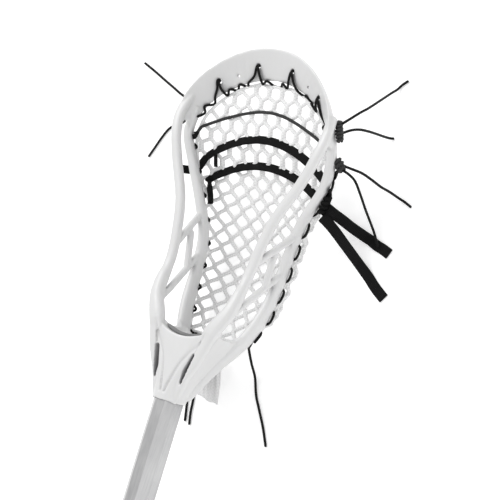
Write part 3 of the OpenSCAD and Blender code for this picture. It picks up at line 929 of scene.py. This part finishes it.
# One turn of the string round the low rail and the mesh: how far along, and which side of the rail
STITCH_TURN = [(0, 1), (9, 1), (12, 0), (15, -1), (18, 0)]
STITCH_PITCH = 21
STITCH_OUT = 5.6


def stitches(first, turns):
    out = []
    for i in range(turns):
        for step, place in STITCH_TURN:
            y = first + i * STITCH_PITCH + step
            x, _, z, h = table(LOW, y)
            out.append((x + STITCH_OUT * place, y, z - h / 2 + (1 if place else -1)))
    return out


RIGHT_STITCHES = stitches(70, 8)
string("right_sidewall_run", RIGHT_STITCHES, "right_sidewall_string", steps=5)
string("left_sidewall_run", [mirrored(p) for p in RIGHT_STITCHES], "left_sidewall_string", steps=5)


# ---- Cord and laces across the pocket ----

LACE_RISE = 0.7  # how far the laces ride above the strands that they cross
LACE_WAVE = 0.3  # how much they rise and sink over them
LACE_STEPS = 60


def bow_line(y_mid, bow, lift, count):
    """A line across the pocket, which bends down by bow towards both edges."""
    points = []
    for k in range(count + 1):
        u = 2 * k / count - 1
        points.append(pocket(math.degrees(math.asin(u)), y_mid - bow * u * u, MESH_T + lift))
    return points


build = Build()
cord_line = bow_line(276, 25, CORD_D / 2, 48)
cord_start = smooth([lay((-76, 241, -18.5)), lay((-73.5, 247, -18.5)), cord_line[0]], 4)[:-1]
build.tube(cord_start + cord_line, CORD_D / 2 * MM, 12)
finish_piece(build.done("shooting_cord_run", GREY), "grey_cord", "shooting_cord")


def joined(before, middle, after):
    """The values along a lace: those of its middle, led over smoothly into those of its ends."""
    return (smooth(before, 5)[:-1] + smooth([before[-1], middle[0]], 4)[:-1] + middle
            + smooth([middle[-1], after[0]], 4)[1:-1] + smooth(after, 5))


def lace(name, y_mid, bow, before, after, node):
    """A flat lace across the pocket; before and after take its ends round the low rails.

    Each of their points comes with the direction of the lace's width there.
    """
    line = bow_line(y_mid, bow, LACE_T / 2 + LACE_RISE, LACE_STEPS)
    middle, acrosses = [], []
    for i, p in enumerate(line):
        middle.append(p + Vector((0, 0, LACE_WAVE * math.sin(i * 1.05) * MM)))
        acrosses.append(Vector((0, 0, 1)).cross(tangent_at(line, i)).normalized())
    points = joined([lay(p) for p, _ in before], middle[3:-3], [lay(p) for p, _ in after])
    widths = joined([turn(d) for _, d in before], acrosses[3:-3], [turn(d) for _, d in after])
    for _ in range(2):
        inner = [(a + b * 2 + c) / 4 for a, b, c in zip(points, points[1:], points[2:])]
        points = [points[0]] + inner + [points[-1]]
    build = Build()
    build.band(points, widths, TIGHT_LACE_W * MM, LACE_T * MM)
    finish_piece(build.done(name, LACE), "lace", node)


def with_width(points, direction=(0, 1, 0)):
    return [(p, direction) for p in points]


lace("upper_lace_run", 251.5, 32,
     with_width([(-85.5, 208, -22.5), (-83.2, 209.5, -30), (-78, 211, -34), (-72, 215, -34)]),
     with_width([(75, 226, -29), (80, 230, -29), (85, 235, -26.5), (89, 241, -20)]),
     "upper_lace")
lace("lower_lace_run", 229, 29,
     with_width([(-53, 184, -42), (-54.5, 191, -41)], (0.9, 0.2, 0.3))
     + with_width([(-57.5, 199, -39)], (0.7, 0.6, 0.3)),
     with_width([(74, 211, -33), (79, 214, -33), (83.5, 218, -28), (84, 215, -26)]),
     "lower_lace")

# ---- Knots: turns of string pulled tight ----

TURN_STEPS = 14
CORE = (0.55, 0.85, 0.95, 1.0, 0.95, 0.85, 0.55)  # the filling's radii, as shares of the turns'


def knot(name, a, b, radius, thickness, turns, node, slot="string", material=BLACK):
    """A barrel knot: turns of string wound round the line from a to b, and a strand over them."""
    a, b = lay(a), lay(b)
    axis = b - a
    length = axis.length
    axis.normalize()
    side = axis.orthogonal().normalized()
    other = axis.cross(side)
    r = (radius - thickness / 2) * MM
    start, stop = -0.55 * radius * MM, length + 0.55 * radius * MM
    build = Build()
    points = []
    count = int(turns * TURN_STEPS)
    for k in range(count + 1):
        t = k / count
        angle = 2 * math.pi * turns * t
        swell = r * (0.82 + 0.18 * math.sin(math.pi * t))
        out = (side * math.cos(angle) + other * math.sin(angle)) * swell
        points.append(a + axis * (start + (stop - start) * t) + out)
    build.tube(points, thickness / 2 * MM, 9)
    core = [a + axis * (start * 0.9 + (stop * 0.97 - start * 0.9) * k / 6) for k in range(7)]
    build.tube(core, [r * f for f in CORE], 10)
    over = []
    for k in range(TURN_STEPS + 1):
        angle = math.pi * k / TURN_STEPS
        along = start * 0.6 + (stop - start * 0.6) * (0.5 - 0.5 * math.cos(angle))
        rise = (r + thickness * 0.28 * MM) * (0.55 + 0.45 * math.sin(angle))
        over.append(a + axis * along + (side * 0.5 + other * 0.86) * rise)
    build.tube(over, thickness * 0.45 * MM, 9)
    finish_piece(build.done(name, material), slot, *([node] if node else []))


knot("left_top_knot_turns", (-79, 283, -4), (-82, 278, -5), 3.2, 2.2, 3, "left_top_knot")
knot("left_side_knot_turns", (-86, 262, -8), (-86.5, 256, -9), 3.2, 2.2, 3, "left_side_knot")
knot("right_top_knot_turns", (84.6, 275, -7), (88.4, 262, -10), 3.9, 2.5, 6, "right_top_knot",
     "grey_cord", GREY)
knot("right_side_knot_turns", (87.4, 243, -19), (91, 239, -21), 5, 3.0, 3, "right_side_knot",
     "grey_cord", GREY)
knot("lace_knot_turns", (80, 211, -31), (76.5, 199, -33), 4.4, 3.4, 4, "lace_knot", "lace", LACE)
knot("right_end_knot_turns", (37, 70, -42), (36, 66, -42), 3, 2.2, 2.5, "right_end_knot")
knot("left_end_knot_turns", (-37, 69, -43), (-35, 66, -43), 2.6, 1.9, 2.5, "left_end_knots")
knot("left_end_knot_turns_b", (-27, 62, -44), (-24, 61, -44), 2.6, 1.9, 2.5, None)
knot("cord_end_knot_turns", (-74.6, 244, -17.5), (-76.4, 240, -18), 2.7, 1.8, 2.5, None)

# The upper lace's end, tucked in between the rails
build = Build()
TUCK = [(-58, 230, -34), (-57.4, 226, -35.4), (-56.8, 222, -36.6), (-56.4, 219, -38)]
build.band([lay(p) for p in TUCK], [turn((1, 0, 0.3))] * len(TUCK), 5 * MM, LACE_T * MM)
finish_piece(build.done("upper_lace_tuck", LACE), "lace")

# ---- CAD nodes that keep their shape ----

for node, material in (("shaft", ALLOY), ("end_cap", RUBBER), ("head_screw", STEEL)):
    NODES[node].data.materials.clear()
    NODES[node].data.materials.append(material)

# ---- Floor and light ----

floor_material, floor_shader = new_material("studio_floor")
floor_place = add(floor_material, "ShaderNodeTexCoord").outputs["Object"]
plug(floor_material, ramp(floor_material, noise_of(floor_material, floor_place, 3, 3.0),
                          [(0.3, grey(0.93)), (0.7, grey(0.945))]), floor_shader, "Base Color")
floor_shader.inputs["Roughness"].default_value = 0.9
floor_shader.inputs["Emission Color"].default_value = (1, 1, 1, 1)
floor_shader.inputs["Emission Strength"].default_value = 0.3
FLOOR_HALF = 6
corners = [(x * FLOOR_HALF, y * FLOOR_HALF, 0) for x, y in ((-1, -1), (1, -1), (1, 1), (-1, 1))]
floor = piece("floor", corners, [(0, 1, 2, 3)], None, floor_material, flat=True)
floor.location.z = -0.0004

world = bpy.data.worlds.new("studio")
bpy.context.scene.world = world
world.use_nodes = True
world.node_tree.nodes["Background"].inputs[0].default_value = (1, 1, 1, 1)
world.node_tree.nodes["Background"].inputs[1].default_value = 0.78


def softbox(name, place, aim, size, power):
    data = bpy.data.lights.new(name, "AREA")
    data.shape = "DISK"
    data.size = size
    data.energy = power
    obj = bpy.data.objects.new(name, data)
    bpy.context.scene.collection.objects.link(obj)
    obj.location = place
    direction = Vector(aim) - Vector(place)
    obj.rotation_euler = direction.to_track_quat("-Z", "Y").to_euler()


middle = lay((0, 170, 0))
softbox("key", middle + Vector((-1.1, 0.9, 1.9)), middle, 1.1, 22)
softbox("fill", middle + Vector((1.6, -1.2, 1.7)), middle, 1.6, 9)

scene = bpy.context.scene
scene.view_settings.view_transform = "Standard"
scene.view_settings.look = "None"
scene.view_settings.exposure = 0.0
